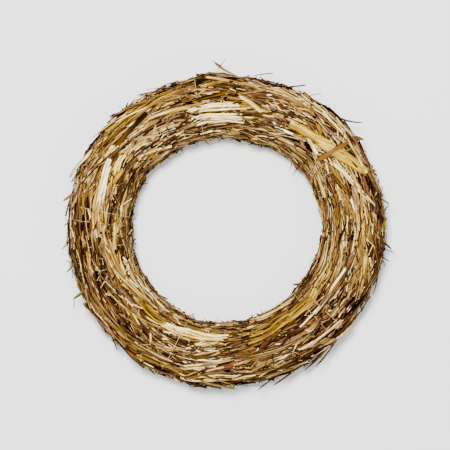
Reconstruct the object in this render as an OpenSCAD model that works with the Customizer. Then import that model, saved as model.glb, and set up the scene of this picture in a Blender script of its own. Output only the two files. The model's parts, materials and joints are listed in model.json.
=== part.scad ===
// Straw wreath form: a ring of packed straw, bound with one thread.
// It lies flat: the ring's axis is Z, and the origin is on the surface that it lies on.

/* [Ring] */
// Outside diameter of the straw ring
ring_d = 300; // [220:10:400]
// Thickness of the straw tube
tube_d = 60; // [50:1:72]
// Depth of straw pressed flat on the underside
base_flat = 2; // [1.5:0.1:2.4]

/* [Packed straw] */
// Slant of the scarfed ends where handfuls meet
scarf_angle = 20; // [0:1:30]
// Gap between the ends of neighbouring handfuls
scarf_gap = 0.3; // [0.1:0.1:0.6]

/* [Cover stalks] */
// Diameter of a whole stalk
stalk_d = 3.5; // [2.8:0.1:4.2]
// Wall of a hollow stalk
stalk_wall = 0.6; // [0.4:0.1:0.9]
// Gap between a stalk and its neighbours
stalk_gap = 0.1; // [0.05:0.05:0.2]
// Space between the ends of stalks that follow each other
end_gap = 3; // [1:0.5:6]

/* [Binding thread] */
// Diameter of the thread
thread_d = 0.6; // [0.4:0.1:0.8]
// Distance along the ring from one turn to the next
thread_pitch = 11; // [8:0.5:16]
// Clearance between the thread and the straw
thread_gap = 0.05; // [0.05:0.05:0.15]
// Diameter of the knots
knot_d = 2.4; // [1.8:0.1:3]
// Length of thread left beyond a knot
tail_l = 9; // [5:1:12]

/* [Hidden] */
handfuls = 16;
COVERS = ["lower_outer", "upper_outer", "crown", "upper_inner", "lower_inner"];

tube_r = tube_d / 2;
ring_r = ring_d / 2 - tube_r;
axis_z = tube_r - base_flat;

// lanes of stalks lie side by side round the tube, from one edge of the foot over the crown to the other
lane_r = tube_r - stalk_d / 2;
core_r = tube_r - stalk_d - stalk_gap;
lane_lift = thread_d + 2 * thread_gap;
lane_low = -asin((axis_z - lane_lift - stalk_d / 2) / lane_r);
lane_arc = 180 - 2 * lane_low;
lane_step_min = 2 * asin((stalk_d + stalk_gap) / 2 / lane_r);
lanes = floor(lane_arc / lane_step_min) + 1;
lane_step = lane_arc / (lanes - 1);
stalks_in_lane = 3;
cut_wander = 25;
split_edge = 0.2;
sheath_wall = 0.45;
sheath_slit = 40;
sheath_gap = 0.1;
sheathed_d = stalk_d - 2 * (sheath_wall + sheath_gap);

// kinds of cover stalk, and how many in a hundred are of each
WHOLE = 0;
PALE = 1;
GOLDEN = 2;
SHEATHED = 3;
pale_share = 20;
golden_share = 14;
sheathed_share = 12;
lane_seed = 7;

foot_half = 90 + lane_low - asin((stalk_d / 2 + stalk_gap) / lane_r);
slot_side = 0.15;
slot_w = thread_d + 2 * slot_side;
slot_h = lane_lift;
handful_arc = 360 / handfuls;
cut_box = 2 * tube_d;

// one turn of thread is a flat run under the foot, then chords over the stalks
arc_chords = 11;
ring_points = arc_chords + 1;
turns = round(360 * ring_r * PI / 180 / thread_pitch);
turn_deg = 360 / turns;
thread_in = tube_r + thread_gap + thread_d / 2;
flat_depth = axis_z - thread_gap - thread_d / 2;
half_chord = (90 + asin(flat_depth / thread_in)) / arc_chords;
thread_out = thread_in / cos(half_chord);
flat_edge = asin(flat_depth / thread_out);
chord_deg = (180 + 2 * flat_edge) / arc_chords;
thread_sides = 4;

// angle round the tube of the thread's point i, counted from the outer end of its flat run
function wrap_angle(i) = floor(i / ring_points) * 360 - flat_edge + (i % ring_points) * chord_deg;
function along_ring(i) = (wrap_angle(i) + flat_edge) / 360 * turn_deg;
function on_tube(radius, wrap, around) = [
    (ring_r + radius * cos(wrap)) * cos(around),
    (ring_r + radius * cos(wrap)) * sin(around),
    axis_z + radius * sin(wrap)];
function thread_point(i, radial, sideways) =
    on_tube(thread_out + radial, wrap_angle(i), along_ring(i))
    + sideways * [-sin(along_ring(i)), cos(along_ring(i)), 0];

thread_last = turns * ring_points - 2;
function thread_ring(i) = [
    for (k = [0:thread_sides - 1])
        thread_point(i, thread_d / 2 * cos(k * 360 / thread_sides),
                        thread_d / 2 * sin(k * 360 / thread_sides))];

// seeded choices for each lane: where its stalks are cut, and what kind each one is
function cut_angles(lane) =
    let (first = rands(0, 360 / stalks_in_lane, 1, lane_seed + lane)[0],
         wander = rands(-cut_wander, cut_wander, stalks_in_lane, 100 + lane_seed + lane))
    [for (k = [0:stalks_in_lane - 1]) first + k * 360 / stalks_in_lane + wander[k]];
function stalk_kind(lane, k) =
    let (draw = rands(0, 100, stalks_in_lane, 200 + lane_seed + lane)[k])
    draw < pale_share ? PALE
    : draw < pale_share + golden_share ? GOLDEN
    : draw < pale_share + golden_share + sheathed_share ? SHEATHED
    : WHOLE;

$fn = 48;

// Draws its child, a section centred on the origin, bent along the ring in a lane
module bend_in_lane(lane, k) {
    cuts = cut_angles(lane);
    wrap = lane_low + lane * lane_step;
    start = cuts[k];
    next = k == stalks_in_lane - 1 ? cuts[0] + 360 : cuts[k + 1];
    lane_ring_r = ring_r + lane_r * cos(wrap);
    half_gap = end_gap / 2 / lane_ring_r * 180 / PI;
    rotate([0, 0, start + half_gap])
        rotate_extrude(angle = next - start - 2 * half_gap)
            translate([lane_ring_r, axis_z + lane_r * sin(wrap)])
                rotate(wrap) children();
}

// Draws its child in every lane of a zone where the stalk is of one kind
module lay_stalks(kind, from_wrap = -90, to_wrap = 270) {
    for (lane = [0:lanes - 1])
        let (wrap = lane_low + lane * lane_step)
            if (wrap >= from_wrap && wrap < to_wrap)
                for (k = [0:stalks_in_lane - 1])
                    if (stalk_kind(lane, k) == kind)
                        bend_in_lane(lane, k) children();
}

module stalk_section(outer_d) {
    difference() {
        circle(d = outer_d);
        circle(d = outer_d - 2 * stalk_wall);
    }
}

// Half a stalk, with its split side towards the packed straw
module split_section() {
    rotate(180)
        difference() {
            stalk_section(stalk_d);
            translate([split_edge, -stalk_d]) square([stalk_d, 2 * stalk_d]);
        }
}

// A leaf sheath round a thin stalk, with its slit towards the packed straw
module sheath_section() {
    slit_x = stalk_d * cos(sheath_slit);
    slit_y = stalk_d * sin(sheath_slit);
    rotate(180)
        difference() {
            circle(d = stalk_d);
            circle(d = stalk_d - 2 * sheath_wall);
            polygon([[0, 0], [slit_x, -slit_y], [slit_x, slit_y]]);
        }
}

module zone_stalks(zone) {
    zone_step = lane_arc / len(COVERS);
    from_wrap = lane_low + zone * zone_step;
    to_wrap = zone == len(COVERS) - 1 ? 270 : from_wrap + zone_step;
    color(zone == 2 ? "burlywood" : "peru")
        lay_stalks(WHOLE, from_wrap, to_wrap) stalk_section(stalk_d);
}

module pale_split_stalks() {
    color("wheat") lay_stalks(PALE) split_section();
}

module golden_split_stalks() {
    color("goldenrod") lay_stalks(GOLDEN) split_section();
}

module sheathed_stalks() {
    color("darkkhaki") lay_stalks(SHEATHED) stalk_section(sheathed_d);
}

module leaf_sheaths() {
    color("sienna") lay_stalks(SHEATHED) sheath_section();
}

// Section of the packed straw: a round core with a foot that is pressed flat
module core_section() {
    foot_w = axis_z * tan(foot_half);
    translate([ring_r, 0]) {
        translate([0, axis_z]) circle(core_r);
        polygon([[0, axis_z], [-foot_w, 0], [foot_w, 0]]);
    }
}

// Slots in the foot where the thread's flat runs have bitten into the straw
module thread_slots(from_deg, to_deg) {
    first = floor(from_deg / turn_deg);
    last = ceil(to_deg / turn_deg);
    for (turn = [first:last]) {
        outer_end = thread_point(turn * ring_points, 0, 0);
        inner_end = thread_point(turn * ring_points - 1, 0, 0);
        run = outer_end - inner_end;
        translate([inner_end[0], inner_end[1], 0])
            rotate([0, 0, atan2(run[1], run[0])])
                translate([0, -slot_w / 2, -slot_h])
                    cube([norm(run), slot_w, 2 * slot_h]);
    }
}

// A block that cuts away everything before a slanted scarf plane, or after it
module scarf_cut(at_deg, before) {
    rotate([0, 0, at_deg])
        translate([ring_r, 0, axis_z])
            rotate([scarf_angle, 0, 0])
                translate([-cut_box / 2, before ? scarf_gap / 2 - cut_box : -scarf_gap / 2, -cut_box / 2])
                    cube(cut_box);
}

module straw_handful(i) {
    from_deg = (i - 1) * handful_arc;
    to_deg = i * handful_arc;
    margin = atan(tube_r * tan(scarf_angle) / (ring_r - tube_r)) + 1;
    color(i % 2 == 0 ? "tan" : "burlywood")
        difference() {
            rotate([0, 0, from_deg - margin])
                rotate_extrude(angle = handful_arc + 2 * margin) core_section();
            scarf_cut(from_deg, true);
            scarf_cut(to_deg, false);
            thread_slots(from_deg - margin, to_deg + margin);
        }
}

// The thread, as one tube from its start to its end
module binding_thread() {
    rings = thread_last + 1;
    points = [for (i = [0:thread_last]) each thread_ring(i)];
    sides = [
        for (i = [0:rings - 2])
            for (k = [0:thread_sides - 1])
                let (a = i * thread_sides + k,
                     b = i * thread_sides + (k + 1) % thread_sides,
                     c = a + thread_sides,
                     d = b + thread_sides)
                each [[a, c, b], [b, c, d]]];
    first_cap = [for (k = [0:thread_sides - 1]) k];
    last_cap = [for (k = [thread_sides - 1:-1:0]) (rings - 1) * thread_sides + k];
    color("cornsilk")
        polyhedron(points = points, faces = concat(sides, [first_cap, last_cap]));
}

// A knot at an end of the thread, with the tail that is left beyond it
module knot(i, side) {
    centre = thread_point(i, knot_d / 2 - thread_d / 2, side * (knot_d / 2 + thread_d / 2 + thread_gap));
    color("cornsilk")
        translate(centre) {
            sphere(d = knot_d);
            rotate([0, 0, along_ring(i) + (side > 0 ? 90 : -90)])
                rotate([0, 90, 0]) cylinder(h = tail_l, d = thread_d);
        }
}

module thread_start_knot() {
    knot(1, -1);
}

module thread_end_knot() {
    knot(thread_last, 1);
}

for (i = [1:handfuls])
    straw_handful(i);
for (zone = [0:len(COVERS) - 1])
    zone_stalks(zone);
pale_split_stalks();
golden_split_stalks();
sheathed_stalks();
leaf_sheaths();
binding_thread();
thread_start_knot();
thread_end_knot();
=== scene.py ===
import bmesh
import bpy
import json
import math
import numpy as np
from mathutils import Matrix, Vector


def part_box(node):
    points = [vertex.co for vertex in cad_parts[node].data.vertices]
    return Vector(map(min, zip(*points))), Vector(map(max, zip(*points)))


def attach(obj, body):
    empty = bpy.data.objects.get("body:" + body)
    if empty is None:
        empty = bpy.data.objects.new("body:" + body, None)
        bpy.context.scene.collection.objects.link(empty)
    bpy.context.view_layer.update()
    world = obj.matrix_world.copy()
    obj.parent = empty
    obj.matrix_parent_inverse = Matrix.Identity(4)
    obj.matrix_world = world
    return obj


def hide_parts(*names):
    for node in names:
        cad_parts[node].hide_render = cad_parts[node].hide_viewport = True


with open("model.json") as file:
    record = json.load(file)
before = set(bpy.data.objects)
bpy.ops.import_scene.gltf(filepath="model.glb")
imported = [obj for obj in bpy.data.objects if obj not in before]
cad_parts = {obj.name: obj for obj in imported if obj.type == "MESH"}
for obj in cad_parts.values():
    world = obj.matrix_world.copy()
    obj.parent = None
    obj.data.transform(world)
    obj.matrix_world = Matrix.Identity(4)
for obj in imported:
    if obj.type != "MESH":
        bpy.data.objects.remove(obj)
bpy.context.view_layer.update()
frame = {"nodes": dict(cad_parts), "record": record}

# the ring's own sizes: the hook bears on the inner wall at the height of the tube's middle
hookSeat = next(m for m in frame["record"]["mounts"] if m["name"] == "hook_seat")["pos_m"]
innerR = hookSeat[1]
axisZ = hookSeat[2]
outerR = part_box("lower_outer_stalks")[1][1]
ringR = (outerR + innerR) / 2
tubeR = (outerR - innerR) / 2

binding = {
    "pitch": 0.011,
    "diameter": 0.00036,
    "stepsPerTurn": 44,
    "bite": 0.00045,  # how deep it pinches the straw, and how wide the dent is
    "biteWidth": 0.0016,
    "clear": -0.0012,  # how far off the skin it lies where it sinks in
    "proud": 0.0022,  # how much higher it lies where it shows on top
    "riseSteps": 5,
    "hidden": 0.7,  # the more, the less of it shows on top
}
# where the thread shows on top, as waves like those below
shows = [
    (1.5, 5, 0, -1.2),
    (0.5, 0, 0.37, 1.0),
]


def knotBall(node, tailSide):
    # the middle of a knot: its tail runs off to one side of it, along y
    low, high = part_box(node)
    half = (high[2] - low[2]) / 2
    y = high[1] - half if tailSide < 0 else low[1] + half
    return Vector(((low[0] + high[0]) / 2, y, low[2] + half)), half


startBall, knotR = knotBall("thread_start_knot", -1)
endBall, knotR = knotBall("thread_end_knot", 1)
turns = round(2 * math.pi * ringR / binding["pitch"])
# the thread's first and last places: the angle round the tube and the angle round the ring
firstPhi = math.atan2(startBall.z - axisZ, startBall.x - ringR)
lastPhi = math.atan2(endBall.z - axisZ, endBall.x - ringR) + 2 * math.pi * turns
firstTheta = math.atan2(startBall.y, startBall.x)
lastTheta = math.atan2(endBall.y, endBall.x) + 2 * math.pi
lead = (lastTheta - firstTheta) / (lastPhi - firstPhi)

# the ring is a little out of round, as a hand-wound one is: size, times round, phase
oval = [
    (0.0014, 2, 1.3),
    (0.0004, 3, 0.4),
]
# waves over the skin: size, times round the ring, times round the tube, phase
lumps = [
    (0.00080, 3, 1, 0.4),
    (0.00065, 7, -1, 2.1),
    (0.00060, 13, 2, 4.0),
    (0.00045, 23, -3, 1.2),
    (0.00035, 37, 2, 5.3),
]
swirls = [
    (0.10, 4, 1, 1.0),
    (0.08, 9, -2, 3.1),
    (0.06, 17, 1, 5.2),
]
patches = [
    (0.045, 5, 2, 0.3),
    (0.035, 11, -1, 2.2),
    (0.035, 19, 3, 4.4),
]

paintedDepthShade = 62  # painted shade: how much tone a straw loses for each metre it lies under the skin, for the shade deep in the pile
paintedSideLightAndShade = 0.04  # painted shade and light: how much darker the outer side is than the crown, and the inner side lighter, as the light falls from above
overallShade = 0.03  # how much darker all the straw is
sideSwirl = 0.35  # the part of the swirl that is left on the inner and outer sides

# broad places on the face where the straw is darker or lighter, more golden or rustier than elsewhere: angle
# and half width in degrees, distance from the ring's axis and half width in mm, change of tone, gold and tint
zones = [
    (8, 17, 132, 7, 0.16, 0.1, 0.1),
    (11, 7, 120, 5, -0.12, 0.1, 0),
    (32, 11, 141, 7, -0.13, 0.2, 0.1),
    (37, 9, 109, 8, 0.11, 0.1, 0),
    (69, 10, 108, 7, 0.34, 0.1, 0),
    (90, 9, 106, 5, 0.14, 0.1, 0),
    (73, 9, 141, 6, 0.14, 0, 0),
    (103, 18, 127, 6, -0.21, 0.2, 0.1),
    (130, 20, 138, 7, -0.09, 0.5, 0.2),
    (142, 10, 115, 8, 0.14, 0.2, 0),
    (181, 14, 134, 7, -0.22, 0.2, 0.3),
    (207, 7, 99, 5, 0.18, 0, -0.1),
    (213, 12, 135, 7, 0.16, 0.2, 0.1),
    (216, 12, 115, 7, 0.13, 0.2, 0),
    (228, 10, 104, 5, -0.02, 0.4, 0),
    (238, 8, 122, 6, 0.26, 0.2, 0),
    (265, 11, 123, 6, 0.17, 0, 0),
    (295, 10, 141, 7, 0.11, 0.2, 0.1),
    (300, 12, 100, 6, -0.04, 0.6, 0.1),
    (300, 38, 95, 5, -0.22, 0, 0.2),
    (320, 16, 137, 9, -0.1, 0.1, 0.4),
    (352, 8, 126, 6, 0.14, 0, 0),
]


def zoneShift(theta, phi):
    # the change of tone, gold and tint at one place on the skin; the underside has none
    out = (ringR + tubeR * np.cos(phi)) * 1000
    onFace = np.sin(phi) > -0.3
    total = np.zeros((3, *theta.shape))
    for angle, wide, distance, deep, *change in zones:
        away = np.degrees((theta - math.radians(angle) + math.pi) % (2 * math.pi) - math.pi)
        near = np.exp(-(away / wide) ** 2 - ((out - distance) / deep) ** 2)
        total += np.multiply.outer(change, near)
    return total * onFace


def waves(terms, theta, phi):
    # the sum of a list of waves at one place on the skin
    return sum(size * np.sin(a * theta + b * phi + phase) for size, a, b, phase in terms)


def middleR(theta):
    # the ring's own radius at one angle, out of round
    return ringR + sum(size * np.sin(a * theta + phase) for size, a, phase in oval)


def swell(theta, phi):
    # the skin bulges a little all over, and is pinched under each turn of thread
    total = waves(lumps, theta, phi)
    turn = 2 * math.pi * lead
    offThread = (theta - firstTheta - (phi - firstPhi) * lead + turn / 2) % turn - turn / 2
    return total - binding["bite"] * np.exp(-(offThread * ringR / binding["biteWidth"]) ** 2)


def ringPoint(theta, phi, radius):
    # a place from its angle round the ring, its angle round the tube and its distance from the tube's middle
    out = middleR(theta) + radius * np.cos(phi)
    return np.stack([out * np.cos(theta), out * np.sin(theta), axisZ + radius * np.sin(phi)], axis=-1)


def unit(v):
    return v / np.maximum(np.linalg.norm(v, axis=-1, keepdims=True), 1e-12)


hollowEnd = {"wall": 0.3, "depth": 0.03}  # parts of the stalk's half width and of its length


def stalkTemplate(sides, stations, hollow):
    # a tube one long: x across, y through its thickness, z along
    bm = bmesh.new()
    bmesh.ops.create_cone(bm, cap_ends=True, segments=sides, radius1=1, radius2=1, depth=1)
    lengthwise = [e for e in bm.edges if abs(e.verts[0].co.z - e.verts[1].co.z) > 0.5]
    bmesh.ops.subdivide_edges(bm, edges=lengthwise, cuts=stations - 2, use_grid_fill=True)
    if hollow:
        ends = [f for f in bm.faces if abs(f.normal.z) > 0.9]
        for face in ends:
            inward = -hollowEnd["depth"] * face.normal.z
            bmesh.ops.inset_individual(bm, faces=[face], thickness=hollowEnd["wall"])
            bmesh.ops.translate(bm, vec=(0, 0, inward), verts=face.verts)
    bmesh.ops.recalc_face_normals(bm, faces=bm.faces)
    bm.verts.index_update()
    shape = {
        "across": np.array([v.co.x for v in bm.verts]),
        "depth": np.array([v.co.y for v in bm.verts]),
        "along": np.array([v.co.z + 0.5 for v in bm.verts]),
        "faces": [[v.index for v in f.verts] for f in bm.faces],
    }
    bm.free()
    return shape


def pickPhi(rng, count):
    # angles round the tube, as many per square millimetre at the outside as at the inside
    phi = np.empty(0)
    while len(phi) < count:
        draw = rng.uniform(-math.pi, math.pi, count * 2)
        keep = rng.uniform(0, 1, len(draw)) < (ringR + tubeR * np.cos(draw)) / outerR
        phi = np.concatenate([phi, draw[keep]])
    return phi[:count]


def skewRoute(t, straw):
    # a straw's way over the skin: along the ring, with its own skew and a slow wander
    step = (t - 0.5) * straw["length"]
    wander = straw["wander"] * np.sin(2 * math.pi * (t * straw["waves"] + straw["phase"]))
    theta = straw["theta"] + step * np.cos(straw["skew"]) / (ringR + tubeR * np.cos(straw["phi"]))
    phi = straw["phi"] + (step * np.sin(straw["skew"]) + wander) / tubeR
    return theta, phi, straw["radius"] + swell(theta, phi)


def strawPath(t, straw, route):
    # places along every straw, t from 0 at one end to 1 at the other
    theta, phi, radius = route(t, straw)
    p = ringPoint(theta, phi, radius + straw["lift"] * (2 * t - 1) ** 2)
    if straw["stiff"].any():
        # a stiff straw leaves the skin along its tangent at the middle, tilted up or down
        middle = ringPoint(*route(0.5, straw))
        before = ringPoint(*route(0.49, straw))
        after = ringPoint(*route(0.51, straw))
        up = unit(middle - ringPoint(*route(0.5, straw)[:2], 0))
        line = unit(unit(after - before) + up * np.tan(straw["tilt"])[..., None])
        straight = middle + ((t - 0.5) * straw["length"])[..., None] * line
        p = p + (straight - p) * straw["stiff"][..., None]
    p[..., 2] = np.maximum(p[..., 2], straw["thick"] + straw["clear"])
    return p, theta, phi


def strawAxes(t, straw, route, p, theta, phi):
    # the way each straw's width and its thickness face, flat on the skin or on the floor before it is turned
    ahead = strawPath(t + 0.01, straw, route)[0]
    behind = strawPath(t - 0.01, straw, route)[0]
    along = unit(ahead - behind)
    out = ringPoint(theta, phi, tubeR) - ringPoint(theta, phi, 0)
    onFloor = (p[..., 2] <= straw["thick"] + straw["clear"] + 1e-6)[..., None]
    out = np.where(onFloor, np.array([0, 0, -1.0]), out)
    side = unit(np.cross(along, out))
    out = np.cross(side, along)
    turn = (straw["roll"] + straw["twist"] * (t - 0.5))[..., None]
    return side * np.cos(turn) + out * np.sin(turn), out * np.cos(turn) - side * np.sin(turn)


def writeGrain(mesh, grain):
    values = grain.astype(np.float32).ravel()
    mesh.attributes.new("grain", "FLOAT_VECTOR", "POINT").data.foreach_set("vector", values)


def writeLooks(mesh, shape, looks):
    for key, value in looks.items():
        values = np.broadcast_to(value, shape).astype(np.float32)
        mesh.attributes.new(key, "FLOAT", "POINT").data.foreach_set("value", values.ravel())


floorGap = 0.00005  # how far the lowest straw is kept off the floor
rippleWaves = 3.3  # how many times a straw's width swells along it
grainShift = np.array([0.7, 0.3, 1.9])  # moves each straw's grain by its own phase, so that no two are alike


def layStraw(name, layer, straw, route=skewRoute):
    # bends one copy of the template for every straw along the ring's skin, and joins them into one piece
    template = stalkTemplate(layer["sides"], layer["stations"], layer.get("hollow", False))
    count = len(straw["theta"])
    t = template["along"][None, :]
    col = {k: np.asarray(v, float)[:, None] for k, v in straw.items()}
    p, theta, phi = strawPath(t, col, route)
    wide, deep = strawAxes(t, col, route, p, theta, phi)
    taper = 1 - col["taper"] * np.abs(2 * t - 1) ** 3
    ripple = 1 + col["ripple"] * np.sin(2 * math.pi * (t * rippleWaves + col["phase"]))
    across = template["across"][None, :] * col["width"] * taper * ripple
    depth = template["depth"][None, :] * col["thick"] * taper
    cup = col["curl"] * (template["across"][None, :] ** 2) * col["width"]
    co = p + wide * across[..., None] + deep * (depth - cup)[..., None]
    co[..., 2] = np.maximum(co[..., 2], floorGap)

    size = len(template["along"])
    faces = [[i + s * size for i in face] for s in range(count) for face in template["faces"]]
    mesh = bpy.data.meshes.new(name)
    mesh.from_pydata(co.reshape(-1, 3).tolist(), [], faces)
    grain = np.stack([across, depth, np.broadcast_to(t * col["length"], across.shape)], axis=-1)
    writeGrain(mesh, grain + col["phase"][..., None] * grainShift)
    looks = {key: col[key] for key in ("tone", "tint", "gold")}
    if route is skewRoute:
        for key, change in zip(("tone", "gold", "tint"), zoneShift(theta, phi)):
            looks[key] = looks[key] + change
    # each spot's distance from the straw's middle line, which the material uses to paint shade at the edges
    looks["edge"] = np.abs(template["across"])
    writeLooks(mesh, across.shape, looks)
    mesh.shade_smooth()
    mesh.set_sharp_from_angle(angle=math.radians(layer["smoothAngle"]))
    piece = bpy.data.objects.new(name, mesh)
    bpy.context.collection.objects.link(piece)
    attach(piece, "root")
    print(name, count, "straws", len(mesh.polygons), "faces")
    return piece


# a straw's values where its layer gives none, in metres and radians
plainStraw = {
    "length": 0.1, "skew": 0, "wander": 0, "waves": 0.6, "radius": tubeR, "lift": 0, "tilt": 0, "stiff": 0,
    "thick": 0.0005, "width": 0.001, "roll": 0, "twist": 0, "taper": 0, "ripple": 0, "curl": 0,
    "clear": 0.0003, "tone": 0.5, "tint": 0, "gold": 0,
}


def strawSet(rng, count, phi, theta=None, **ranges):
    # draws each straw's own values; a pair is a range, a number is the same for all
    straw = {"theta": rng.uniform(-math.pi, math.pi, count) if theta is None else theta, "phi": phi}
    straw["phase"] = rng.uniform(0, 1, count)
    for key, value in {**plainStraw, **ranges}.items():
        if isinstance(value, tuple):
            straw[key] = rng.uniform(value[0], value[1], count)
        elif isinstance(value, np.ndarray):
            straw[key] = value
        else:
            straw[key] = np.full(count, float(value))
    # neighbours swirl together, least on the inner and outer sides
    share = sideSwirl + (1 - sideSwirl) * np.abs(np.sin(phi))
    straw["skew"] = straw["skew"] + waves(swirls, straw["theta"], phi) * share
    # whole patches are darker or lighter, straws under the skin are darker with painted shade, and the outer
    # side is darker with painted shade and the inner side lighter with painted light
    patchesAndPaintedShade = waves(patches, straw["theta"], phi) - paintedDepthShade * np.maximum(tubeR - straw["radius"], 0)
    patchesAndPaintedShade = patchesAndPaintedShade - paintedSideLightAndShade * np.cos(phi) - overallShade
    straw["tone"] = np.clip(straw["tone"] + patchesAndPaintedShade, 0.0, 1.0)
    return straw


def toneNormal(rng, count, middle, spread):
    return np.clip(rng.normal(middle, spread, count), 0.02, 0.98)


def ownValues(rng, layer, count):
    # skew, tilt, tone and tint of straws laid one by one, drawn round the layer's middles
    own = {"skew": np.radians(rng.normal(0, layer["skew"], count))}
    if "tilt" in layer:
        own["tilt"] = np.radians(rng.normal(0, layer["tilt"], count))
    own["tone"] = toneNormal(rng, count, *layer["tone"])
    own["tint"] = rng.normal(*layer["tint"], count)
    return own


def bundled(rng, layer):
    # straws fed in together: they lie side by side, point nearly the same way and are nearly the same colour
    bundles = layer["bundles"]
    one = np.repeat(np.arange(bundles), layer["each"])
    count = len(one)
    phi = pickPhi(rng, bundles)[one] + rng.normal(0, layer["across"], count) / tubeR
    theta = rng.uniform(-math.pi, math.pi, bundles)[one] + rng.normal(0, layer["along"], count) / ringR
    skew = rng.normal(0, layer["skew"], bundles)[one] + rng.normal(0, layer["skewEach"], count)
    tone = toneNormal(rng, bundles, *layer["tone"])[one] + rng.normal(0, layer["toneEach"], count)
    gold = (rng.uniform(0, 1, bundles) < layer["golden"])[one] * rng.uniform(0.5, 1, count)
    return count, phi, {"theta": theta, "skew": np.radians(skew), "tone": tone, "gold": gold}


def nodeMaker(material):
    material.use_nodes = True
    tree = material.node_tree
    tree.nodes.clear()

    def make(kind, inputs=(), **settings):
        node = tree.nodes.new(kind)
        for key, value in settings.items():
            setattr(node, key, value)
        for socket, value in dict(inputs).items():
            if isinstance(value, bpy.types.NodeSocket):
                tree.links.new(value, node.inputs[socket])
            else:
                node.inputs[socket].default_value = value
        return node
    return make


def rampOf(make, fac, stops):
    ramp = make("ShaderNodeValToRGB", {"Fac": fac})
    band = ramp.color_ramp
    while len(band.elements) < len(stops):
        band.elements.new(0.5)
    for element, (place, colour) in zip(band.elements, stops):
        element.position = place
        element.color = (*colour, 1)
    return ramp.outputs["Color"]


# the straw's colours from the darkest to the palest: the tone, then red, green and blue
strawColours = [
    (0.00, (0.0028, 0.0008, 0.0002)),
    (0.15, (0.0130, 0.0040, 0.0011)),
    (0.30, (0.0450, 0.0157, 0.0044)),
    (0.45, (0.1080, 0.0455, 0.0125)),
    (0.60, (0.2150, 0.1030, 0.0260)),
    (0.75, (0.4200, 0.2300, 0.0500)),
    (0.90, (0.8700, 0.5900, 0.1650)),
    (1.00, (0.9800, 0.8700, 0.5000)),
]
goldColours = [
    (0.00, (0.0045, 0.0014, 0.0001)),
    (0.25, (0.0450, 0.0165, 0.0002)),
    (0.50, (0.1700, 0.0820, 0.0006)),
    (0.70, (0.3300, 0.1850, 0.0012)),
    (0.85, (0.6200, 0.4100, 0.0080)),
    (1.00, (0.9600, 0.8000, 0.1900)),
]
rustColours = [
    (0.00, (0.0045, 0.0011, 0.0003)),
    (0.30, (0.0340, 0.0095, 0.0030)),
    (0.60, (0.1550, 0.0540, 0.0170)),
    (1.00, (0.5200, 0.2600, 0.1000)),
]
oliveColours = [
    (0.00, (0.0022, 0.0020, 0.0003)),
    (0.30, (0.0210, 0.0230, 0.0030)),
    (0.60, (0.1050, 0.1300, 0.0160)),
    (1.00, (0.5000, 0.5800, 0.1900)),
]


def calc(make, operation, a, b, **settings):
    return make("ShaderNodeMath", {0: a, 1: b}, operation=operation, **settings).outputs[0]


def mixColours(make, factor, a, b):
    # 0, 6 and 7 are the factor and the two colours
    return make("ShaderNodeMix", {0: factor, 6: a, 7: b}, data_type="RGBA").outputs[2]


strawLook = {
    "fibreScale": (900, 900, 32),  # fine fibres: many across the straw and through it, few along it
    "fibreRoughness": 0.65,
    "fibreDepth": 1.9,
    "blotchScale": (400, 400, 70),
    "blotchRoughness": 0.6,
    # painted shade at each straw's edges, where a round straw turns away from the light
    "paintedEdgeShade": 0.5,
    "edgePower": 4.0,
    "bump": 0.5,
    "bumpHeight": 0.0003,
    "roughRange": 0.25,
    "roughBelow": 0.12,
    "glossPower": 2.5,
}


def attributeOf(make, key, socket="Fac"):
    return make("ShaderNodeAttribute", attribute_name=key).outputs[socket]


def grainNoise(make, scale, roughness):
    inputs = {0: attributeOf(make, "grain", "Vector"), 1: scale}
    stretched = make("ShaderNodeVectorMath", inputs, operation="MULTIPLY").outputs[0]
    inputs = {"Vector": stretched, "Scale": 1.0, "Detail": 4, "Roughness": roughness}
    return make("ShaderNodeTexNoise", inputs).outputs["Fac"]


def strawMaterial(name, rough=0.5, fibre=1.0, blotch=0.48, shine=0.48):
    material = bpy.data.materials.new(name)
    make = nodeMaker(material)
    look = strawLook
    tone, tint, gold, edge = (attributeOf(make, key) for key in ("tone", "tint", "gold", "edge"))
    # fibres, blotches and the painted shade at the edges move each spot up or down the straw's ramps of
    # colour
    fibres = grainNoise(make, look["fibreScale"], look["fibreRoughness"])
    blotches = grainNoise(make, look["blotchScale"], look["blotchRoughness"])
    fibreShift = calc(make, "MULTIPLY", calc(make, "ADD", fibres, -0.5), look["fibreDepth"] * fibre)
    blotchShift = calc(make, "MULTIPLY", calc(make, "ADD", blotches, -0.5), blotch)
    paintedEdgeShadeShift = calc(make, "MULTIPLY", calc(make, "POWER", edge, look["edgePower"]), -look["paintedEdgeShade"])
    place = tone
    for shift in (fibreShift, blotchShift, paintedEdgeShadeShift):
        place = calc(make, "ADD", place, shift)
    colour = mixColours(make, gold, rampOf(make, place, strawColours), rampOf(make, place, goldColours))
    # tint turns a straw towards rust on one side and towards olive on the other
    colour = mixColours(make, tint, colour, rampOf(make, place, rustColours))
    olive = calc(make, "MULTIPLY", tint, -1.0, use_clamp=True)
    colour = mixColours(make, olive, colour, rampOf(make, place, oliveColours))
    bump = make("ShaderNodeBump", {
        "Height": fibres, "Strength": look["bump"], "Distance": look["bumpHeight"]}).outputs["Normal"]
    roughness = calc(make, "MULTIPLY", fibres, look["roughRange"])
    roughness = calc(make, "ADD", roughness, rough - look["roughBelow"])
    # dull dark straw has lost its waxy skin
    gloss = calc(make, "MULTIPLY", calc(make, "POWER", tone, look["glossPower"]), shine)
    shader = make("ShaderNodeBsdfPrincipled", {
        "Base Color": colour, "Roughness": roughness, "Normal": bump, "Specular IOR Level": gloss})
    make("ShaderNodeOutputMaterial", {"Surface": shader.outputs[0]})
    return material


def giveMaterial(piece, material):
    piece.data.materials.append(material)


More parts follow.
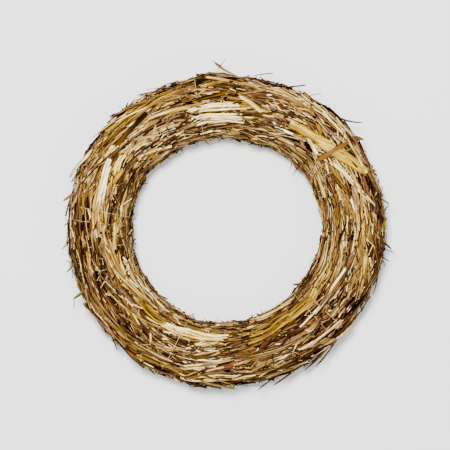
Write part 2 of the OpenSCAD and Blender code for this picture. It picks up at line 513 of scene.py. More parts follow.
packed = {
    "ringSteps": 288, "tubeSteps": 72, "radius": 0.0248, "clear": 0.0006,
    # a low tone: partly the straw's own dark colour, partly painted shade deep in the gaps
    "ridge": 0.0007, "ridges": 31, "tone": 0.2, "tint": 0.1,
    "look": {"rough": 0.8, "shine": 0.08},
}


def ringAngles(x, y, z):
    # the angle round the ring and the angle round the tube
    return np.arctan2(y, x), np.arctan2(z - axisZ, np.hypot(x, y) - ringR)


def makePackedStraw():
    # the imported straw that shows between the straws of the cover
    bm = bmesh.new()
    section = bmesh.ops.create_circle(bm, segments=packed["tubeSteps"], radius=packed["radius"])["verts"]
    bmesh.ops.rotate(bm, verts=section, cent=(0, 0, 0), matrix=Matrix.Rotation(math.pi / 2, 3, "X"))
    bmesh.ops.translate(bm, verts=section, vec=(ringR, 0, axisZ))
    bmesh.ops.spin(
        bm, geom=bm.edges[:], cent=(0, 0, 0), axis=(0, 0, 1), angle=2 * math.pi, steps=packed["ringSteps"],
        use_merge=True)
    bmesh.ops.recalc_face_normals(bm, faces=bm.faces)
    for v in bm.verts:
        theta, phi = ringAngles(*v.co)
        ridge = packed["ridge"] * math.sin(packed["ridges"] * phi + 2 * math.sin(3 * theta))
        v.co = Vector(ringPoint(theta, phi, packed["radius"] + ridge + swell(theta, phi)))
        v.co.z = max(v.co.z, packed["clear"])
    mesh = bpy.data.meshes.new("packedStraw")
    bm.to_mesh(mesh)
    bm.free()
    place = np.empty(len(mesh.vertices) * 3)
    mesh.vertices.foreach_get("co", place)
    theta, phi = ringAngles(*place.reshape(-1, 3).T)
    grain = [np.cos(phi) * tubeR, np.sin(phi) * tubeR, np.sin(theta / 2) * ringR * 2]
    writeGrain(mesh, np.stack(grain, axis=-1))
    writeLooks(mesh, len(mesh.vertices), {"tone": packed["tone"], "tint": packed["tint"], "gold": 0.0})
    mesh.shade_smooth()
    piece = bpy.data.objects.new("packedStraw", mesh)
    bpy.context.collection.objects.link(piece)
    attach(piece, "root")
    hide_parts(*[n for n in frame["nodes"] if n.startswith("straw_handful")])
    giveMaterial(piece, strawMaterial("packedStraw", **packed["look"]))
    print("packedStraw", len(mesh.polygons), "faces")


# the layers of straw, from the inside out: in each layer's dictionary skew and tilt are spreads in degrees,
# tone and tint are a middle and a spread, and shape holds the ranges that each straw's own values are drawn
# from, in metres and radians
underStraw = {
    "count": 900, "seed": 11, "skew": 7, "tone": (0.44, 0.12), "tint": (0.15, 0.15),
    "shape": {
        "length": (0.06, 0.2), "wander": (0, 0.003), "radius": (0.0253, 0.0272), "width": (0.0005, 0.0014),
        "thick": (0.0004, 0.001), "twist": (-2, 2), "roll": (-1, 1)},
    "sides": 5, "stations": 13, "smoothAngle": 50, "look": {"rough": 0.6, "shine": 0.16},
}


def makeUnderStraw():
    rng = np.random.default_rng(underStraw["seed"])
    n = underStraw["count"]
    phi = pickPhi(rng, n)
    straw = strawSet(rng, n, phi, **underStraw["shape"], **ownValues(rng, underStraw, n))
    piece = layStraw("underStraw", underStraw, straw)
    giveMaterial(piece, strawMaterial("underStraw", **underStraw["look"]))


longStraw = {
    "bundles": 130, "each": 8, "seed": 23, "across": 0.0035, "along": 0.012, "skew": 6, "skewEach": 2,
    "tone": (0.49, 0.13), "toneEach": 0.15, "golden": 0.25, "tint": (0.12, 0.26), "tintLimits": (-0.15, 1),
    "shape": {
        "length": (0.05, 0.2), "wander": (0, 0.0025), "waves": (0.4, 1.1), "radius": (0.0264, 0.0290),
        "width": (0.0006, 0.0018), "thick": (0.0004, 0.0010), "twist": (-2, 2), "roll": (-1, 1),
        "stiff": (0, 0.2)},
    "sides": 6, "stations": 13, "hollow": True, "smoothAngle": 50, "look": {"rough": 0.42},
}


def makeLongStraw():
    # whole stalks, hollow at their ends
    rng = np.random.default_rng(longStraw["seed"])
    n, phi, shared = bundled(rng, longStraw)
    tint = rng.normal(*longStraw["tint"], n).clip(*longStraw["tintLimits"])
    straw = strawSet(rng, n, phi, **longStraw["shape"], tint=tint, **shared)
    piece = layStraw("longStraw", longStraw, straw)
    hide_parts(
        "lower_outer_stalks", "upper_outer_stalks", "crown_stalks", "upper_inner_stalks",
        "lower_inner_stalks", "sheathed_stalks")
    giveMaterial(piece, strawMaterial("longStraw", **longStraw["look"]))


paleSplit = {
    "bundles": 54, "each": 4, "seed": 31, "across": 0.004, "along": 0.012, "skew": 9, "skewEach": 4,
    "tone": (0.72, 0.15), "toneEach": 0.12, "golden": 0.3, "tint": (-0.02, 0.06),
    "shape": {
        "length": (0.03, 0.12), "wander": (0, 0.002), "radius": (0.0282, 0.0299), "width": (0.001, 0.003),
        "thick": (0.0002, 0.0004), "twist": (-0.9, 0.9), "roll": (-0.4, 0.4), "curl": (0.0, 0.5),
        "ripple": (0, 0.12), "taper": (0, 0.5), "stiff": (0, 0.5)},
    "sides": 8, "stations": 13, "smoothAngle": 70, "look": {"rough": 0.36, "fibre": 1.2},
}


def makePaleSplit():
    rng = np.random.default_rng(paleSplit["seed"])
    n, phi, shared = bundled(rng, paleSplit)
    straw = strawSet(rng, n, phi, **paleSplit["shape"], tint=rng.normal(*paleSplit["tint"], n), **shared)
    piece = layStraw("paleSplitStraw", paleSplit, straw)
    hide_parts("pale_split_stalks")
    giveMaterial(piece, strawMaterial("paleSplitStraw", **paleSplit["look"]))


# the golden split stalks are like the pale ones, but for these values
goldenSplit = {
    **paleSplit, "bundles": 50, "seed": 37, "tone": (0.58, 0.12), "golden": 1, "tint": (0.02, 0.08),
    "shape": {**paleSplit["shape"], "radius": (0.0281, 0.0299), "width": (0.001, 0.0028)},
}


def makeGoldenSplit():
    rng = np.random.default_rng(goldenSplit["seed"])
    n, phi, shared = bundled(rng, goldenSplit)
    straw = strawSet(rng, n, phi, **goldenSplit["shape"], tint=rng.normal(*goldenSplit["tint"], n), **shared)
    piece = layStraw("goldenSplitStraw", goldenSplit, straw)
    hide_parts("golden_split_stalks")
    giveMaterial(piece, strawMaterial("goldenSplitStraw", **goldenSplit["look"]))


broadStrips = {
    "count": 130, "seed": 71, "skew": 9, "tone": (0.62, 0.18), "toneLimits": (0.4, 1), "tint": (0.08, 0.24),
    "tintLimits": (-0.15, 1),
    "shape": {
        "length": (0.02, 0.075), "wander": (0, 0.0015), "radius": (0.0292, 0.0302), "width": (0.0012, 0.0030),
        "thick": (0.0003, 0.0007), "twist": (-0.5, 0.5), "roll": (-0.25, 0.25), "curl": (0.1, 0.7),
        "ripple": (0, 0.1), "taper": (0, 0.35), "lift": (-0.0016, 0.0003), "stiff": (0, 0.35)},
    "sides": 8, "stations": 13, "smoothAngle": 60, "look": {"rough": 0.36, "fibre": 1.1},
}


def makeBroadStrips():
    # broad flattened stalks that lie on top of the rest, with cut ends
    rng = np.random.default_rng(broadStrips["seed"])
    n = broadStrips["count"]
    phi = pickPhi(rng, n)
    own = ownValues(rng, broadStrips, n)
    own["tone"] = own["tone"].clip(*broadStrips["toneLimits"])
    own["tint"] = own["tint"].clip(*broadStrips["tintLimits"])
    own["gold"] = rng.uniform(0, 1, n) ** 2
    straw = strawSet(rng, n, phi, **broadStrips["shape"], **own)
    piece = layStraw("broadStrips", broadStrips, straw)
    giveMaterial(piece, strawMaterial("broadStrips", **broadStrips["look"]))


sheaths = {
    "count": 420, "seed": 41, "skew": 16, "stiff": 0.9, "stiffInside": 0.25, "tone": (0.38, 0.15),
    "tint": (0.25, 0.25),
    "shape": {
        "length": (0.008, 0.042), "wander": (0, 0.002), "radius": (0.0282, 0.0300), "width": (0.0009, 0.0026),
        "thick": (0.00012, 0.0002), "twist": (-1.6, 1.6), "roll": (-0.7, 0.7), "curl": (-0.3, 0.9),
        "ripple": (0, 0.25), "taper": (0.3, 1), "gold": (0, 0.6)},
    "sides": 6, "stations": 9, "smoothAngle": 80, "look": {"rough": 0.6, "fibre": 1.3},
}


def makeSheaths():
    rng = np.random.default_rng(sheaths["seed"])
    n = sheaths["count"]
    phi = pickPhi(rng, n)
    nearHole = np.cos(phi) < 0.2  # there they bend with the ring, so that none stands far out into the hole
    stiff = rng.uniform(0, sheaths["stiff"], n) * np.where(nearHole, sheaths["stiffInside"], 1)
    straw = strawSet(rng, n, phi, **sheaths["shape"], stiff=stiff, **ownValues(rng, sheaths, n))
    piece = layStraw("leafSheaths", sheaths, straw)
    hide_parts("leaf_sheaths")
    giveMaterial(piece, strawMaterial("leafSheaths", **sheaths["look"]))


fineStraw = {
    "bundles": 300, "each": 12, "seed": 47, "across": 0.0025, "along": 0.012, "skew": 9, "skewEach": 6,
    "tone": (0.5, 0.12), "toneEach": 0.42, "golden": 0.25, "tint": (0.08, 0.24), "tintLimits": (-0.25, 1),
    "shape": {
        "length": (0.012, 0.06), "wander": (0, 0.0015), "radius": (0.0278, 0.0301), "width": (0.0002, 0.0007),
        "thick": (0.00015, 0.0004), "twist": (-2, 2), "lift": (0, 0.0012), "stiff": (0, 0.3)},
    "sides": 3, "stations": 8, "smoothAngle": 80, "look": {"rough": 0.5},
}


def makeFineStraw():
    rng = np.random.default_rng(fineStraw["seed"])
    n, phi, shared = bundled(rng, fineStraw)
    tint = rng.normal(*fineStraw["tint"], n).clip(*fineStraw["tintLimits"])
    straw = strawSet(rng, n, phi, **fineStraw["shape"], tint=tint, **shared)
    piece = layStraw("fineStraw", fineStraw, straw)
    giveMaterial(piece, strawMaterial("fineStraw", **fineStraw["look"]))


innerStraw = {
    "count": 700, "seed": 49, "middle": math.pi, "spread": 0.6, "skew": 4, "tone": (0.50, 0.18),
    "tint": (-0.08, 0.14),
    "shape": {
        "length": (0.03, 0.1), "wander": (0, 0.001), "radius": (0.0286, 0.0301), "width": (0.0003, 0.0009),
        "thick": (0.0002, 0.0006), "twist": (-2, 2), "stiff": (0, 0.15)},
    "sides": 4, "stations": 9, "smoothAngle": 60, "look": {"rough": 0.55},
}


def makeInnerStraw():
    # the wall of the hole is covered in fine dull straws that all run round it
    rng = np.random.default_rng(innerStraw["seed"])
    n = innerStraw["count"]
    phi = rng.normal(innerStraw["middle"], innerStraw["spread"], n)
    straw = strawSet(rng, n, phi, **innerStraw["shape"], **ownValues(rng, innerStraw, n))
    piece = layStraw("innerStraw", innerStraw, straw)
    giveMaterial(piece, strawMaterial("innerStraw", **innerStraw["look"]))


chaff = {
    "count": 4600, "seed": 43, "pale": 0.36, "paleTone": 0.84, "darkTone": 0.26, "toneSpread": 0.12,
    "skew": 24, "tilt": 7, "tint": (0.12, 0.26),
    "shape": {
        "length": (0.003, 0.016), "stiff": 1, "radius": (0.0285, 0.0304), "width": (0.0003, 0.0011),
        "thick": (0.00012, 0.0004), "twist": (-0.8, 0.8), "roll": (-1, 1), "taper": (0, 0.6),
        "gold": (0, 0.5)},
    "sides": 4, "stations": 3, "smoothAngle": 50, "look": {"rough": 0.6},
}


def makeChaff():
    rng = np.random.default_rng(chaff["seed"])
    n = chaff["count"]
    middle = np.where(rng.uniform(0, 1, n) < chaff["pale"], chaff["paleTone"], chaff["darkTone"])
    phi = pickPhi(rng, n)
    skew = np.radians(rng.normal(0, chaff["skew"], n))
    tilt = np.radians(rng.normal(0, chaff["tilt"], n))
    tone = middle + rng.normal(0, chaff["toneSpread"], n)
    tint = rng.normal(*chaff["tint"], n)
    straw = strawSet(rng, n, phi, **chaff["shape"], skew=skew, tilt=tilt, tone=tone, tint=tint)
    piece = layStraw("chaff", chaff, straw)
    giveMaterial(piece, strawMaterial("chaff", **chaff["look"]))


whiskers = {
    "count": 420, "seed": 53, "skew": 34, "tilt": 24, "tone": (0.22, 0.2), "tint": (0.1, 0.15),
    "shape": {
        "length": (0.006, 0.018), "stiff": 1, "radius": (0.0290, 0.0306), "width": (0.0003, 0.0006),
        "thick": (0.0002, 0.0004), "taper": (0.3, 1)},
    "sides": 3, "stations": 5, "smoothAngle": 80, "look": {"rough": 0.6},
}


def makeWhiskers():
    rng = np.random.default_rng(whiskers["seed"])
    n = whiskers["count"]
    phi = pickPhi(rng, n)
    straw = strawSet(rng, n, phi, **whiskers["shape"], **ownValues(rng, whiskers, n))
    piece = layStraw("whiskers", whiskers, straw)
    giveMaterial(piece, strawMaterial("whiskers", **whiskers["look"]))


rimBits = {
    "outer": 620, "inner": 330, "seed": 59, "spread": 0.35, "above": 0.05, "skew": 36, "tilt": 22,
    "tone": (0.28, 0.18), "tint": (0.15, 0.15),
    "shape": {
        "length": (0.003, 0.013), "stiff": 1, "radius": (0.0286, 0.0308), "width": (0.0004, 0.0012),
        "thick": (0.0002, 0.0005), "twist": (-1, 1), "roll": (0.4, 2.6), "taper": (0, 0.7)},
    "sides": 4, "stations": 3, "smoothAngle": 60, "look": {"rough": 0.6},
}


def makeRimBits():
    # short dark broken ends that stick out at the outer edge and into the hole
    rng = np.random.default_rng(rimBits["seed"])
    n = rimBits["outer"] + rimBits["inner"]
    inner = np.arange(n) >= rimBits["outer"]
    phi = np.where(inner, math.pi, 0) + rng.normal(rimBits["above"], rimBits["spread"], n)
    straw = strawSet(rng, n, phi, **rimBits["shape"], **ownValues(rng, rimBits, n))
    piece = layStraw("rimBits", rimBits, straw)
    giveMaterial(piece, strawMaterial("rimBits", **rimBits["look"]))


# locks that stand out on the face: each runs from one place to another, given as an angle round the ring in
# degrees and a distance from the ring's axis in mm; then come its width in mm, how many strips lie side by
# side in it, tone, gold, tint, how straight it is and its lift in mm
locks = [
    (154, 142, 126, 136, 8, 4, 0.52, 1, 0.05, 0, 1.4),
    (134, 138, 102, 137.5, 8, 4, 0.54, 1, 0.05, 0, 1.4),
    (107, 115.5, 84, 116.5, 7, 3, 0.97, 0.2, 0, 0, 1.1),
    (109, 106, 84, 105.5, 9, 4, 0.98, 0.1, 0, 0, 1.1),
    (144, 119, 152, 118, 6, 3, 0.93, 0.5, 0, 0.1, 1.2),
    (142, 116, 112, 107, 8, 5, 0.72, 0, -0.08, 0.1, 0.5),
    (132, 124, 112, 118, 6, 4, 0.66, 0.1, -0.05, 0.1, 0.5),
    (149, 126, 168, 121.5, 7, 3, 0.98, 0, -0.03, 0.1, 1.3),
    (158, 130, 177, 126, 6, 4, 0.72, 0.6, 0.05, 0.1, 1),
    (166, 124, 184, 121, 6, 3, 0.82, 0.3, 0, 0.1, 1.2),
    (165, 121, 186, 113, 7, 4, 0.74, 0.6, 0, 0, 0.6),
    (158, 140, 176, 138.5, 9, 4, 0.5, 0.9, 0.3, 0, 1.3),
    (172, 141, 190, 140, 7, 3, 0.44, 0.7, 0.4, 0, 1.1),
    (150, 112, 158, 114, 6, 1, 0.52, 1, 0.2, 0.2, 1.6),
    (183, 113, 232, 101, 8, 5, 0.72, 0.6, 0, 0, 0.5),
    (236, 106, 270, 101.5, 8, 3, 0.92, 0.5, 0, 0, 1.3),
    (214, 107, 232, 105.5, 6, 3, 0.57, 1, 0.02, 0, 1.2),
    (226, 146, 249, 138, 6, 3, 0.56, 1, 0.04, 0, 1.2),
    (252, 134, 268, 123, 8, 3, 0.96, 0, -0.05, 0.3, 1.3),
    (252, 144, 274, 138, 7, 3, 0.92, 0.1, 0, 0.1, 1.2),
    (262, 140, 284, 139, 5, 3, 0.86, 0, 0, 0, 0.9),
    (281, 105, 306, 100, 11, 4, 0.52, 1, 0.08, 0.1, 1.7),
    (298, 100, 324, 104, 10, 4, 0.54, 1, 0.06, 0.1, 1.7),
    (316, 104, 338, 103.5, 7, 4, 0.64, 0.9, 0, 0.1, 1.3),
    (306, 117, 322, 128, 5, 3, 0.6, 0.2, 0.15, 0.3, 0.6),
    (296, 122, 316, 124, 6, 4, 0.6, 0.2, 0.15, 0.1, 0.6),
    (64, 140, 36, 148, 6, 3, 0.82, 0.1, 0, 0.1, 0.7),
    (78, 141, 52, 140, 7, 4, 0.82, 0.1, 0.02, 0.1, 0.7),
    (38, 113, 10, 138, 6, 3, 0.94, 0.1, 0, 0.3, 1.1),
    (34, 122, 10, 135, 4, 3, 0.78, 0.4, 0, 0.2, 0.6),
    (30, 116, 2, 117, 6, 4, 0.6, 0.6, 0.1, 0, 0.4),
    (16, 106, -30, 103, 5, 3, 0.62, 0.5, 0, 0, 0.2),
    (62, 100, 24, 99, 5, 3, 0.6, 0.3, -0.12, 0, 0.2),
    (-4, 128, -26, 133, 6, 4, 0.62, 0.6, 0.05, 0.1, 0.5),
]
# single stalks that lie straight across their neighbours, written the same way
crossing = [
    (59, 116.5, 36, 129.5, 11, 1, 0.78, 0.9, -0.03, 1, 2.2),
    (44, 121, 22, 143, 9, 1, 0.66, 1, -0.03, 1, 2.8),
    (49, 110.5, 40, 108.5, 6, 1, 0.02, 0, 0, 1, 1.6),
    (-38, 131, -47, 127, 5, 1, 0.08, 0, 0, 1, 0.9),
    (85, 128, 71, 114, 5, 1, 0.9, 0.6, -0.15, 1, 1.3),
    (306, 114.5, 322, 114, 2.8, 1, 0.98, 0.1, 0, 1, 1.8),
    (326, 114, 346, 121, 2.8, 1, 0.96, 0.1, -0.1, 1, 1.6),
    (37.5, 107, 35.5, 142, 5.5, 1, 0.54, 0.6, 0.25, 1, 3.2),
    (35, 113, 17, 119, 3.5, 1, 0.52, 1, 0.25, 0.3, 1.4),
    (274, 124, 267, 131, 9, 1, 0.42, 0.3, 0.95, 1, 2.4),
    (291, 112, 286, 115, 6, 1, 0.26, 0, 0.7, 1, 2),
    (60, 131, 52, 139, 2, 1, 0.7, 0.2, 0, 1, 1.6),
    (50, 133, 44, 126, 4, 1, 0.62, 1, 0, 1, 1.2),
    (268, 132, 262, 127, 4, 1, 0.9, 0, 0, 1, 0.8),
    (263, 137, 273, 128, 7, 1, 0.46, 0.7, 0.6, 1, 2),
    (-51, 118, -61, 114.5, 6.5, 1, 0.22, 0, 0.4, 1, 1.4),
    (-19, 116, -28, 117, 5, 1, 0.18, 0, 0.2, 1, 1),
]


def faceRoute(t, straw):
    # from one place on the face to another, either round with the ring or straight as seen from above
    theta = straw["thetaA"] + (straw["thetaB"] - straw["thetaA"]) * t
    out = straw["outA"] + (straw["outB"] - straw["outA"]) * t
    x = straw["outA"] * np.cos(straw["thetaA"]) * (1 - t) + straw["outB"] * np.cos(straw["thetaB"]) * t
    y = straw["outA"] * np.sin(straw["thetaA"]) * (1 - t) + straw["outB"] * np.sin(straw["thetaB"]) * t
    chord = straw["chord"]
    theta = theta + (np.arctan2(y, x) - theta + math.pi) % (2 * math.pi) * chord - math.pi * chord
    out = out + (np.hypot(x, y) - out) * chord
    out = out + straw["aside"] + straw["wander"] * np.sin(2 * math.pi * (t * straw["waves"] + straw["phase"]))
    phi = np.arccos(np.clip((out - middleR(theta)) / tubeR, -1, 1))
    return theta, phi, straw["radius"] + swell(theta, phi)


# how the strips of one lock differ: a single number is a spread, a pair is a range
strips = {
    "angle": 1.6, "aside": 0.0003, "width": (0.42, 0.66), "radius": (-0.0005, 0.0001), "tone": 0.06,
    "curl": (0.1, 0.5), "thick": (0.00025, 0.0004), "roll": 0.12, "twist": 0.2, "wander": (0, 0.0008),
    "waves": (0.6, 1.3), "phase": (0, 1), "taper": (0, 0.5), "ripple": (0, 0.1),
    "bow": -0.0004, "bowStraight": -0.0012,  # how far the ends dip, and how much more on a straight strip
    "smoothAngle": 70, "look": {"rough": 0.36, "fibre": 0.7, "blotch": 0.4, "shine": 0.32},
}
faceLocks = {**strips, "seed": 61, "sides": 8, "stations": 22}
crossingStalks = {**strips, "seed": 67, "sides": 10, "stations": 14}


def vary(rng, layer, key):
    value = layer[key]
    return rng.uniform(*value) if isinstance(value, tuple) else rng.normal(0, value)


def makeLocks(name, lines, layer):
    rng = np.random.default_rng(layer["seed"])
    rows = []
    for angleA, outA, angleB, outB, width, count, tone, gold, tint, chord, lift in lines:
        each = width / 1000 / count
        for k in range(count):
            start = vary(rng, layer, "angle") if count > 1 else 0
            row = {
                "thetaA": math.radians(angleA + start), "thetaB": math.radians(angleB + start),
                "outA": outA / 1000, "outB": outB / 1000, "chord": chord, "gold": gold, "tint": tint,
                "length": math.radians(abs(angleB - angleA)) * ringR,
                "lift": layer["bow"] + layer["bowStraight"] * chord,
                "aside": (k - (count - 1) / 2) * each + vary(rng, layer, "aside"),
                "width": each * vary(rng, layer, "width"),
                "radius": tubeR + lift / 1000 + vary(rng, layer, "radius"),
                "tone": tone + vary(rng, layer, "tone"),
            }
            for key in ("curl", "thick", "roll", "twist", "wander", "waves", "phase", "taper", "ripple"):
                row[key] = vary(rng, layer, key)
            for key in ("theta", "phi", "tilt", "stiff", "clear"):
                row[key] = plainStraw.get(key, 0)
            rows.append(row)
    straw = {key: np.array([row[key] for row in rows]) for key in rows[0]}
    piece = layStraw(name, layer, straw, route=faceRoute)
    giveMaterial(piece, strawMaterial(name, **layer["look"]))


# single broken ends that stand out past the outer edge or into the hole: angle in degrees, distance from the
# ring's axis and height in mm of the root and then of the tip; then width and bow to one side in mm, tone,
# gold and tint
sprigs = [
    (49, 149, 34, 38, 165, 38, 1.8, -3, 0.16, 0, -0.5),
    (37, 147, 38, 33, 156, 40, 3.6, 0.5, 0.34, 0.4, 0.1),
    (15, 147, 34, 9, 157, 36, 2.2, -1.5, 0.62, 0.9, 0),
    (9, 157, 36, 5, 150, 32, 1.4, -0.5, 0.4, 0.3, 0.1),
    (-4, 148, 32, -7, 159, 33, 2, 0.5, 0.14, 0, 0.2),
    (-7, 147, 36, -8, 162, 36, 1.4, 1, 0.1, 0, 0.1),
    (-9, 148, 30, -11, 160, 28, 1.6, -0.8, 0.12, 0, 0.2),
    (-8, 149, 26, -13, 156, 26, 1, 0, 0.1, 0, 0.1),
    (-14, 150, 34, -24, 153, 34, 1.2, 0.8, 0.16, 0.1, 0),
    (-46, 149, 34, -57, 156, 36, 1.6, 0.8, 0.2, 0.1, 0.1),
    (-52, 150, 28, -61, 154, 28, 2.2, 0.4, 0.28, 0.3, 0.1),
    (-63, 148, 34, -73, 155, 34, 2, 0.6, 0.18, 0, 0.1),
    (-72, 148, 38, -79, 156, 38, 1.4, -0.6, 0.14, 0, 0),
    (-95, 149, 30, -103, 154, 30, 1.2, 0.4, 0.22, 0.2, 0),
    (86, 146, 42, 94, 158, 44, 3, 1.2, 0.62, 0.2, 0.1),
    (90, 150, 40, 95, 161, 40, 1.2, -1, 0.2, 0, 0),
    (93, 152, 36, 90, 162, 36, 0.8, 0.5, 0.12, 0, 0),
    (80, 148, 38, 73, 155, 38, 1.2, 0.6, 0.24, 0.1, 0.1),
    (66, 149, 36, 61, 157, 38, 1.6, -0.4, 0.18, 0, 0),
    (58, 150, 34, 55, 158, 34, 0.9, 0.4, 0.14, 0, 0),
    (118, 149, 34, 124, 154, 34, 1.4, 0.3, 0.22, 0.1, 0),
    (131, 149, 38, 136, 155, 38, 1.6, 0.2, 0.14, 0, 0),
    (143, 149, 32, 149, 154, 32, 1.2, 0.4, 0.2, 0, 0.1),
    (157, 149, 36, 163, 154, 36, 1.4, -0.3, 0.18, 0.1, 0.1),
    (166, 148, 38, 170, 157, 38, 3, 0.4, 0.44, 0.2, 0.2),
    (183, 149, 30, 187, 158, 30, 1.2, 0.4, 0.24, 0.2, 0.1),
    (192, 147, 36, 195, 157, 38, 2.2, 0.8, 0.5, 0.2, -0.8),
    (194, 147, 34, 191, 155, 36, 1.4, -0.5, 0.44, 0.1, -0.7),
    (203, 146, 38, 204.5, 160, 38, 3.8, 0.6, 0.56, 0.1, -0.95),
    (204.4, 158, 38, 207.5, 164, 34, 0.9, 0.4, 0.42, 0.1, -0.8),
    (203, 148, 32, 200, 160, 30, 0.8, -1, 0.7, 0.1, -0.2),
    (222, 149, 30, 228, 155, 30, 1.4, 0.4, 0.2, 0.1, 0),
    (238, 149, 34, 244, 154, 34, 1.6, 0.3, 0.16, 0, 0.1),
    (98, 93, 30, 94, 83, 30, 0.9, 1.2, 0.12, 0, 0),
    (95, 93, 36, 91, 85, 36, 0.8, -0.6, 0.1, 0, 0),
    (47, 93, 30, 43, 83, 32, 1, 0.4, 0.12, 0, 0),
    (41, 93, 34, 39, 82, 34, 0.9, -0.5, 0.12, 0, 0),
    (-31, 93, 30, -33, 84, 31, 0.45, 0.6, 0.1, 0, -0.3),
    (-64, 93, 30, -67, 83, 30, 0.9, 0.8, 0.12, 0, 0),
    (-108, 93, 32, -112, 86, 32, 0.9, 0.3, 0.14, 0, 0),
    (176, 93, 32, 173, 86, 32, 0.8, 0.4, 0.12, 0, 0),
    (152, 93, 30, 149, 86, 30, 0.9, -0.4, 0.14, 0, 0),
]


def sprigRoute(t, straw):
    # from a root in the straw to a free tip, bowed a little to one side
    x = straw["rootX"] + straw["runX"] * t - straw["runY"] * straw["bow"] * 4 * t * (1 - t)
    y = straw["rootY"] + straw["runY"] * t + straw["runX"] * straw["bow"] * 4 * t * (1 - t)
    z = straw["rootZ"] + straw["runZ"] * t
    theta = np.arctan2(y, x)
    out = np.hypot(x, y) - middleR(theta)
    return theta, np.arctan2(z - axisZ, out), np.hypot(out, z - axisZ)


sprigShape = {
    "seed": 73, "smoothAngle": 60, "look": {"rough": 0.5}, "sides": 6, "stations": 11,
    "shape": {
        "thick": (0.0002, 0.0004), "roll": (1.1, 2.0), "twist": (-0.8, 0.8), "taper": (0.2, 0.8),
        "curl": (0, 0.3)},
}


def ringPlace(angle, distance, height):
    # a place from degrees and mm
    turn = np.radians(angle)
    return np.stack([distance * np.cos(turn), distance * np.sin(turn), height], 1) / 1000


def makeSprigs():
    angleA, outA, highA, angleB, outB, highB, width, bow, tone, gold, tint = np.array(sprigs, float).T
    root = ringPlace(angleA, outA, highA)
    run = ringPlace(angleB, outB, highB) - root
    n = len(sprigs)
    rng = np.random.default_rng(sprigShape["seed"])
    straw = strawSet(
        rng, n, np.zeros(n), np.zeros(n), **sprigShape["shape"], width=width / 2000, gold=gold, tint=tint)
    straw["tone"] = tone
    straw["length"] = np.linalg.norm(run, axis=1)
    straw["bow"] = bow / 1000 / straw["length"]
    for k, axis in enumerate("XYZ"):
        straw["root" + axis] = root[:, k]
        straw["run" + axis] = run[:, k]
    piece = layStraw("sprigs", sprigShape, straw, route=sprigRoute)
    giveMaterial(piece, strawMaterial("sprigs", **sprigShape["look"]))


threadLook = {
    "fleckScale": 900.0, "dark": (0.36, 0.27, 0.12), "pale": (0.72, 0.60, 0.36), "rough": 0.4,
    "bump": 0.3, "bumpHeight": 0.0001,
}


def threadMaterial():
    material = bpy.data.materials.new("bindingThread")
    make = nodeMaker(material)
    place = make("ShaderNodeTexCoord").outputs["Object"]
    flecks = {"Vector": place, "Scale": threadLook["fleckScale"], "Detail": 2}
    noise = make("ShaderNodeTexNoise", flecks).outputs["Fac"]
    colour = rampOf(make, noise, [(0.3, threadLook["dark"]), (0.7, threadLook["pale"])])
    fuzz = {"Height": noise, "Strength": threadLook["bump"], "Distance": threadLook["bumpHeight"]}
    bump = make("ShaderNodeBump", fuzz).outputs["Normal"]
    skin = {"Base Color": colour, "Roughness": threadLook["rough"], "Normal": bump}
    shader = make("ShaderNodeBsdfPrincipled", skin)
    make("ShaderNodeOutputMaterial", {"Surface": shader.outputs[0]})
    return material


def layThread(name, paths, node):
    curve = bpy.data.curves.new(name, "CURVE")
    curve.dimensions = "3D"
    for path in paths:
        spline = curve.splines.new("POLY")
        spline.points.add(len(path) - 1)
        spline.points.foreach_set("co", np.concatenate([path, np.ones((len(path), 1))], axis=1).ravel())
    curve.bevel_depth = binding["diameter"] / 2
    curve.bevel_resolution = 1
    curve.use_fill_caps = True
    piece = bpy.data.objects.new(name, curve)
    bpy.context.collection.objects.link(piece)
    piece.data.materials.append(threadMaterial())
    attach(piece, "root")
    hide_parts(node)
    print(name, sum(len(path) for path in paths), "steps of thread")


def makeThread():
    steps = turns * binding["stepsPerTurn"]
    phi = np.linspace(firstPhi, lastPhi, steps)
    theta = firstTheta + (phi - firstPhi) * lead
    # it lies on top of the straw over some stretches and sinks in between the straws elsewhere
    onTop = np.clip(waves(shows, theta, phi) - binding["hidden"], 0, 1)
    radius = tubeR + binding["clear"] + binding["proud"] * onTop + swell(theta, phi)
    path = ringPoint(theta, phi, radius)
    # the last few steps at each end rise to the knot
    rise = binding["riseSteps"]
    for ball, k, sign in ((startBall, 0, 1), (endBall, steps - 1, -1)):
        for j in range(rise):
            path[k + sign * j] += (np.array(ball) - path[k + sign * j]) * (1 - j / rise)
    path[:, 2] = np.maximum(path[:, 2], binding["diameter"])
    layThread("bindingThread", [path], "binding_thread")


knots = {"loopSteps": 40, "flat": 0.5, "height": 0.8, "tailSteps": 14, "tailWave": 0.0004}


def makeKnot(name, node, ball, tailSide):
    # an overhand knot pulled tight, and the tail that is left beyond it
    low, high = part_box(node)
    u = np.linspace(0, 2 * math.pi, knots["loopSteps"])
    out = 1 + knots["flat"] * np.cos(3 * u)
    loop = np.stack([out * np.cos(2 * u), out * np.sin(2 * u), knots["height"] * np.sin(3 * u)], axis=1)
    loop = loop * (knotR - binding["diameter"] / 2) / (1 + knots["flat"]) + np.array(ball)
    end = high[1] if tailSide > 0 else low[1]
    t = np.linspace(0, 1, knots["tailSteps"])
    wave = knots["tailWave"] * np.sin(2 * math.pi * t)
    drop = 2 * knots["tailWave"] * t * t
    tail = np.stack([ball.x + wave, ball.y + (end - ball.y) * t, ball.z - drop], axis=1)
    layThread(name, [loop, tail], node)


stage = {
    "floorSize": 6.0,
    "floorGreys": (0.86, 0.9),
    "floorRough": 0.9,
    "mottleScale": 3.0,
    "distance": 1.6,  # the camera's height above the floor
    "viewWidth": 0.430,  # how much the camera sees across, at the height of the tube's middle
    "aim": (-0.001, 0.0043),
    "key": {"place": (-0.13, 0.30, 1.6), "size": 0.3, "power": 67},
    "fill": {"place": (0.6, -0.7, 1.5), "size": 1.6, "power": 10},
    "world": 0.74,
}


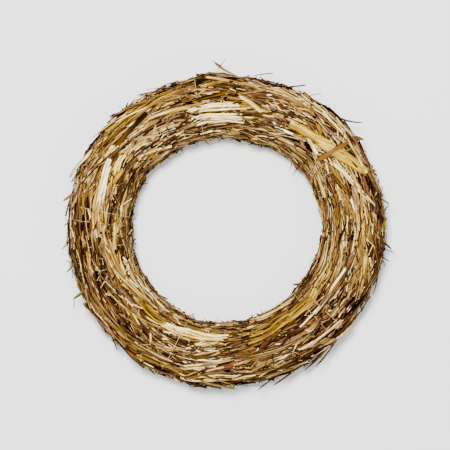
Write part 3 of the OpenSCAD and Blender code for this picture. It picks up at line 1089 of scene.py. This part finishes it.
def makeStage():
    bpy.ops.mesh.primitive_plane_add(size=stage["floorSize"], location=(0, 0, 0))
    floor = bpy.context.object
    floor.name = "floor"
    material = bpy.data.materials.new("floor")
    make = nodeMaker(material)
    place = make("ShaderNodeTexCoord").outputs["Object"]
    mottle = make("ShaderNodeTexNoise", {"Vector": place, "Scale": stage["mottleScale"]}).outputs["Fac"]
    darker, paler = stage["floorGreys"]
    colour = rampOf(make, mottle, [(0.0, (darker,) * 3), (1.0, (paler,) * 3)])
    shader = make("ShaderNodeBsdfPrincipled", {"Base Color": colour, "Roughness": stage["floorRough"]})
    make("ShaderNodeOutputMaterial", {"Surface": shader.outputs[0]})
    floor.data.materials.append(material)


def addLight(name):
    light = bpy.data.lights.new(name, "AREA")
    light.size = stage[name]["size"]
    light.energy = stage[name]["power"]
    lamp = bpy.data.objects.new(name, light)
    lamp.location = stage[name]["place"]
    lamp.rotation_euler = (-lamp.location).to_track_quat("-Z", "Y").to_euler()
    bpy.context.collection.objects.link(lamp)


def makeLights():
    addLight("key")
    addLight("fill")
    world = bpy.data.worlds.new("world")
    bpy.context.scene.world = world
    world.use_nodes = True
    background = world.node_tree.nodes["Background"]
    background.inputs["Color"].default_value = (1, 1, 1, 1)
    background.inputs["Strength"].default_value = stage["world"]


def makeCamera():
    data = bpy.data.cameras.new("camera")
    data.lens = data.sensor_width * (stage["distance"] - axisZ) / stage["viewWidth"]
    data.clip_end = 20
    camera = bpy.data.objects.new("camera", data)
    camera.location = (*stage["aim"], stage["distance"])
    bpy.context.collection.objects.link(camera)
    bpy.context.scene.camera = camera


makePackedStraw()
makeUnderStraw()
makeLongStraw()
makePaleSplit()
makeGoldenSplit()
makeBroadStrips()
makeSheaths()
makeFineStraw()
makeInnerStraw()
makeChaff()
makeWhiskers()
makeRimBits()
makeLocks("faceLocks", locks, faceLocks)
makeLocks("crossingStalks", crossing, crossingStalks)
makeSprigs()
makeThread()
makeKnot("startKnot", "thread_start_knot", startBall, -1)
makeKnot("endKnot", "thread_end_knot", endBall, 1)
makeStage()
makeLights()
makeCamera()
print("floor, lights and camera are set")
